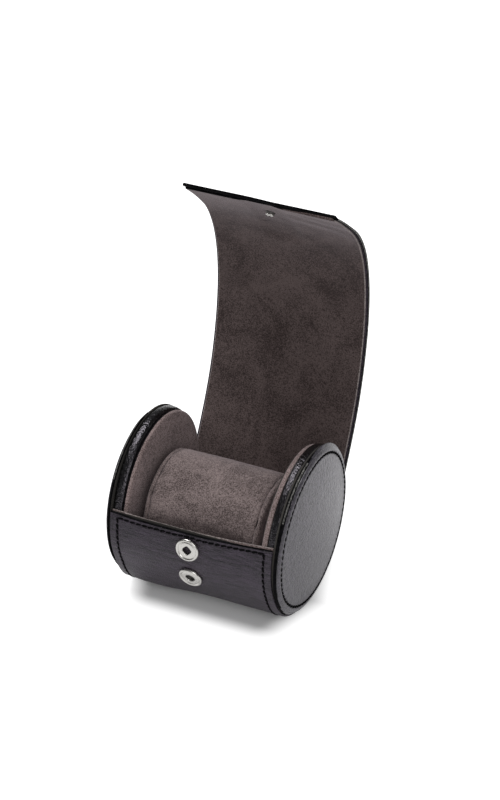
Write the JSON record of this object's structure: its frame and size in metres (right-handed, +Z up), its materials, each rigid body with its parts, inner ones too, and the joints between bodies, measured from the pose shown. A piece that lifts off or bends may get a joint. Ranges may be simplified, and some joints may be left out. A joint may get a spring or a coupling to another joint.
{
  "type": "watch roll",
  "caption": "Round leather watch roll with padded ends, a long suede-lined flap that curls over and snaps shut at the front, and a lift-out suede cushion inside.",
  "frame": {"origin": "on the floor, in the middle of the roll's narrow flat foot, under its axis", "axes": "+X along the roll's axis to its right end, +Y to the back where the flap is, +Z up"},
  "size_m": [0.0866, 0.1132, 0.1819],
  "materials": {
    "leather": "fine grain",
    "face_leather": "pebble grain",
    "rim_leather": "smooth, semi gloss",
    "suede": "brushed suede",
    "cushion_suede": "brushed suede",
    "thread": "waxed",
    "fibreboard": "raw",
    "pressed_board": "raw",
    "foam": "open cell",
    "nickel": "polished nickel plate"
  },
  "bodies": {
    "case": {"end_core_board_left": "fibreboard", "end_core_board_right": "fibreboard", "end_face_backing_left": "pressed_board", "end_face_backing_right": "pressed_board", "end_face_foam_left": "foam", "end_face_foam_right": "foam", "end_face_leather_left": "face_leather", "end_face_leather_right": "face_leather", "end_face_thread_left": "thread", "end_face_thread_right": "thread", "end_inner_board_left": "pressed_board", "end_inner_board_right": "pressed_board", "end_rim_leather_left": "rim_leather", "end_rim_leather_right": "rim_leather", "end_suede_left": "suede", "end_suede_right": "suede", "snap_rivets": "nickel", "snap_sockets": "nickel", "snap_springs": "nickel", "wrap_board": "pressed_board", "wrap_leather": "leather", "wrap_lining": "suede", "wrap_thread": "thread"},
    "flap_01": {"flap_leather_01": "leather", "flap_lining_01": "suede"},
    "flap_02": {"flap_leather_02": "leather", "flap_lining_02": "suede"},
    "flap_03": {"flap_leather_03": "leather", "flap_lining_03": "suede"},
    "flap_04": {"flap_leather_04": "leather", "flap_lining_04": "suede"},
    "flap_05": {"flap_leather_05": "leather", "flap_lining_05": "suede"},
    "flap_06": {"flap_leather_06": "leather", "flap_lining_06": "suede"},
    "flap_07": {"flap_leather_07": "leather", "flap_lining_07": "suede"},
    "flap_08": {"flap_leather_08": "leather", "flap_lining_08": "suede"},
    "flap_09": {"flap_leather_09": "leather", "flap_lining_09": "suede"},
    "flap_10": {"flap_leather_10": "leather", "flap_lining_10": "suede"},
    "flap_tip": {"flap_leather_tip": "leather", "flap_lining_tip": "suede", "snap_stud": "nickel", "snap_stud_cap": "nickel"},
    "cushion": {"cushion_core": "foam", "cushion_cover": "cushion_suede", "cushion_end_left": "cushion_suede", "cushion_end_right": "cushion_suede", "cushion_seam_left": "thread", "cushion_seam_right": "thread"}
  },
  "joints": [
    {"name": "flap_curl", "type": "hinge", "parent": "case", "child": "flap_01", "pos_m": [0, 0.03776, 0.02656], "axis": [1, 0, 0], "range_deg": [-8.56, 21.4]},
    {"name": "flap_curl_02", "type": "hinge", "parent": "flap_01", "child": "flap_02", "pos_m": [0, 0.04544, 0.03944], "axis": [1, 0, 0], "range_deg": [-8.66, 21.58]},
    {"name": "flap_curl_03", "type": "hinge", "parent": "flap_02", "child": "flap_03", "pos_m": [0, 0.05283, 0.0525], "axis": [1, 0, 0], "range_deg": [-7.21, 17.95]},
    {"name": "flap_curl_04", "type": "hinge", "parent": "flap_03", "child": "flap_04", "pos_m": [0, 0.05938, 0.06598], "axis": [1, 0, 0], "range_deg": [-6.3, 15.67]},
    {"name": "flap_curl_05", "type": "hinge", "parent": "flap_04", "child": "flap_05", "pos_m": [0, 0.06451, 0.08007], "axis": [1, 0, 0], "range_deg": [-6.19, 15.4]},
    {"name": "flap_curl_06", "type": "hinge", "parent": "flap_05", "child": "flap_06", "pos_m": [0, 0.06813, 0.09462], "axis": [1, 0, 0], "range_deg": [-6.37, 15.85]},
    {"name": "flap_curl_07", "type": "hinge", "parent": "flap_06", "child": "flap_07", "pos_m": [0, 0.07028, 0.10946], "axis": [1, 0, 0], "range_deg": [-5.67, 14.09]},
    {"name": "flap_curl_08", "type": "hinge", "parent": "flap_07", "child": "flap_08", "pos_m": [0, 0.07048, 0.12444], "axis": [1, 0, 0], "range_deg": [-3.04, 7.52]},
    {"name": "flap_curl_09", "type": "hinge", "parent": "flap_08", "child": "flap_09", "pos_m": [0, 0.06814, 0.13924], "axis": [1, 0, 0], "range_deg": [-1.38, 3.38]},
    {"name": "flap_press", "type": "hinge", "parent": "flap_09", "child": "flap_10", "pos_m": [0, 0.06259, 0.15313], "axis": [1, 0, 0], "range_deg": [-5, 14.52]},
    {"name": "flap_press_tip", "type": "hinge", "parent": "flap_10", "child": "flap_tip", "pos_m": [0, 0.05355, 0.16503], "axis": [1, 0, 0], "range_deg": [-2.68, 7.69]},
    {"name": "cushion_lift", "type": "slide", "parent": "case", "child": "cushion", "axis": [0, 0, 1], "range_m": [0, 0.1]}
  ],
  "couplings": [
    {"joint": "flap_curl_02", "follows": "flap_curl", "ratio": 1.0063},
    {"joint": "flap_curl_03", "follows": "flap_curl", "ratio": 0.83656},
    {"joint": "flap_curl_04", "follows": "flap_curl", "ratio": 0.73006},
    {"joint": "flap_curl_05", "follows": "flap_curl", "ratio": 0.71756},
    {"joint": "flap_curl_06", "follows": "flap_curl", "ratio": 0.73838},
    {"joint": "flap_curl_07", "follows": "flap_curl", "ratio": 0.65629},
    {"joint": "flap_curl_08", "follows": "flap_curl", "ratio": 0.34896},
    {"joint": "flap_curl_09", "follows": "flap_curl", "ratio": 0.1554},
    {"joint": "flap_press_tip", "follows": "flap_press", "ratio": 0.52625}
  ]
}
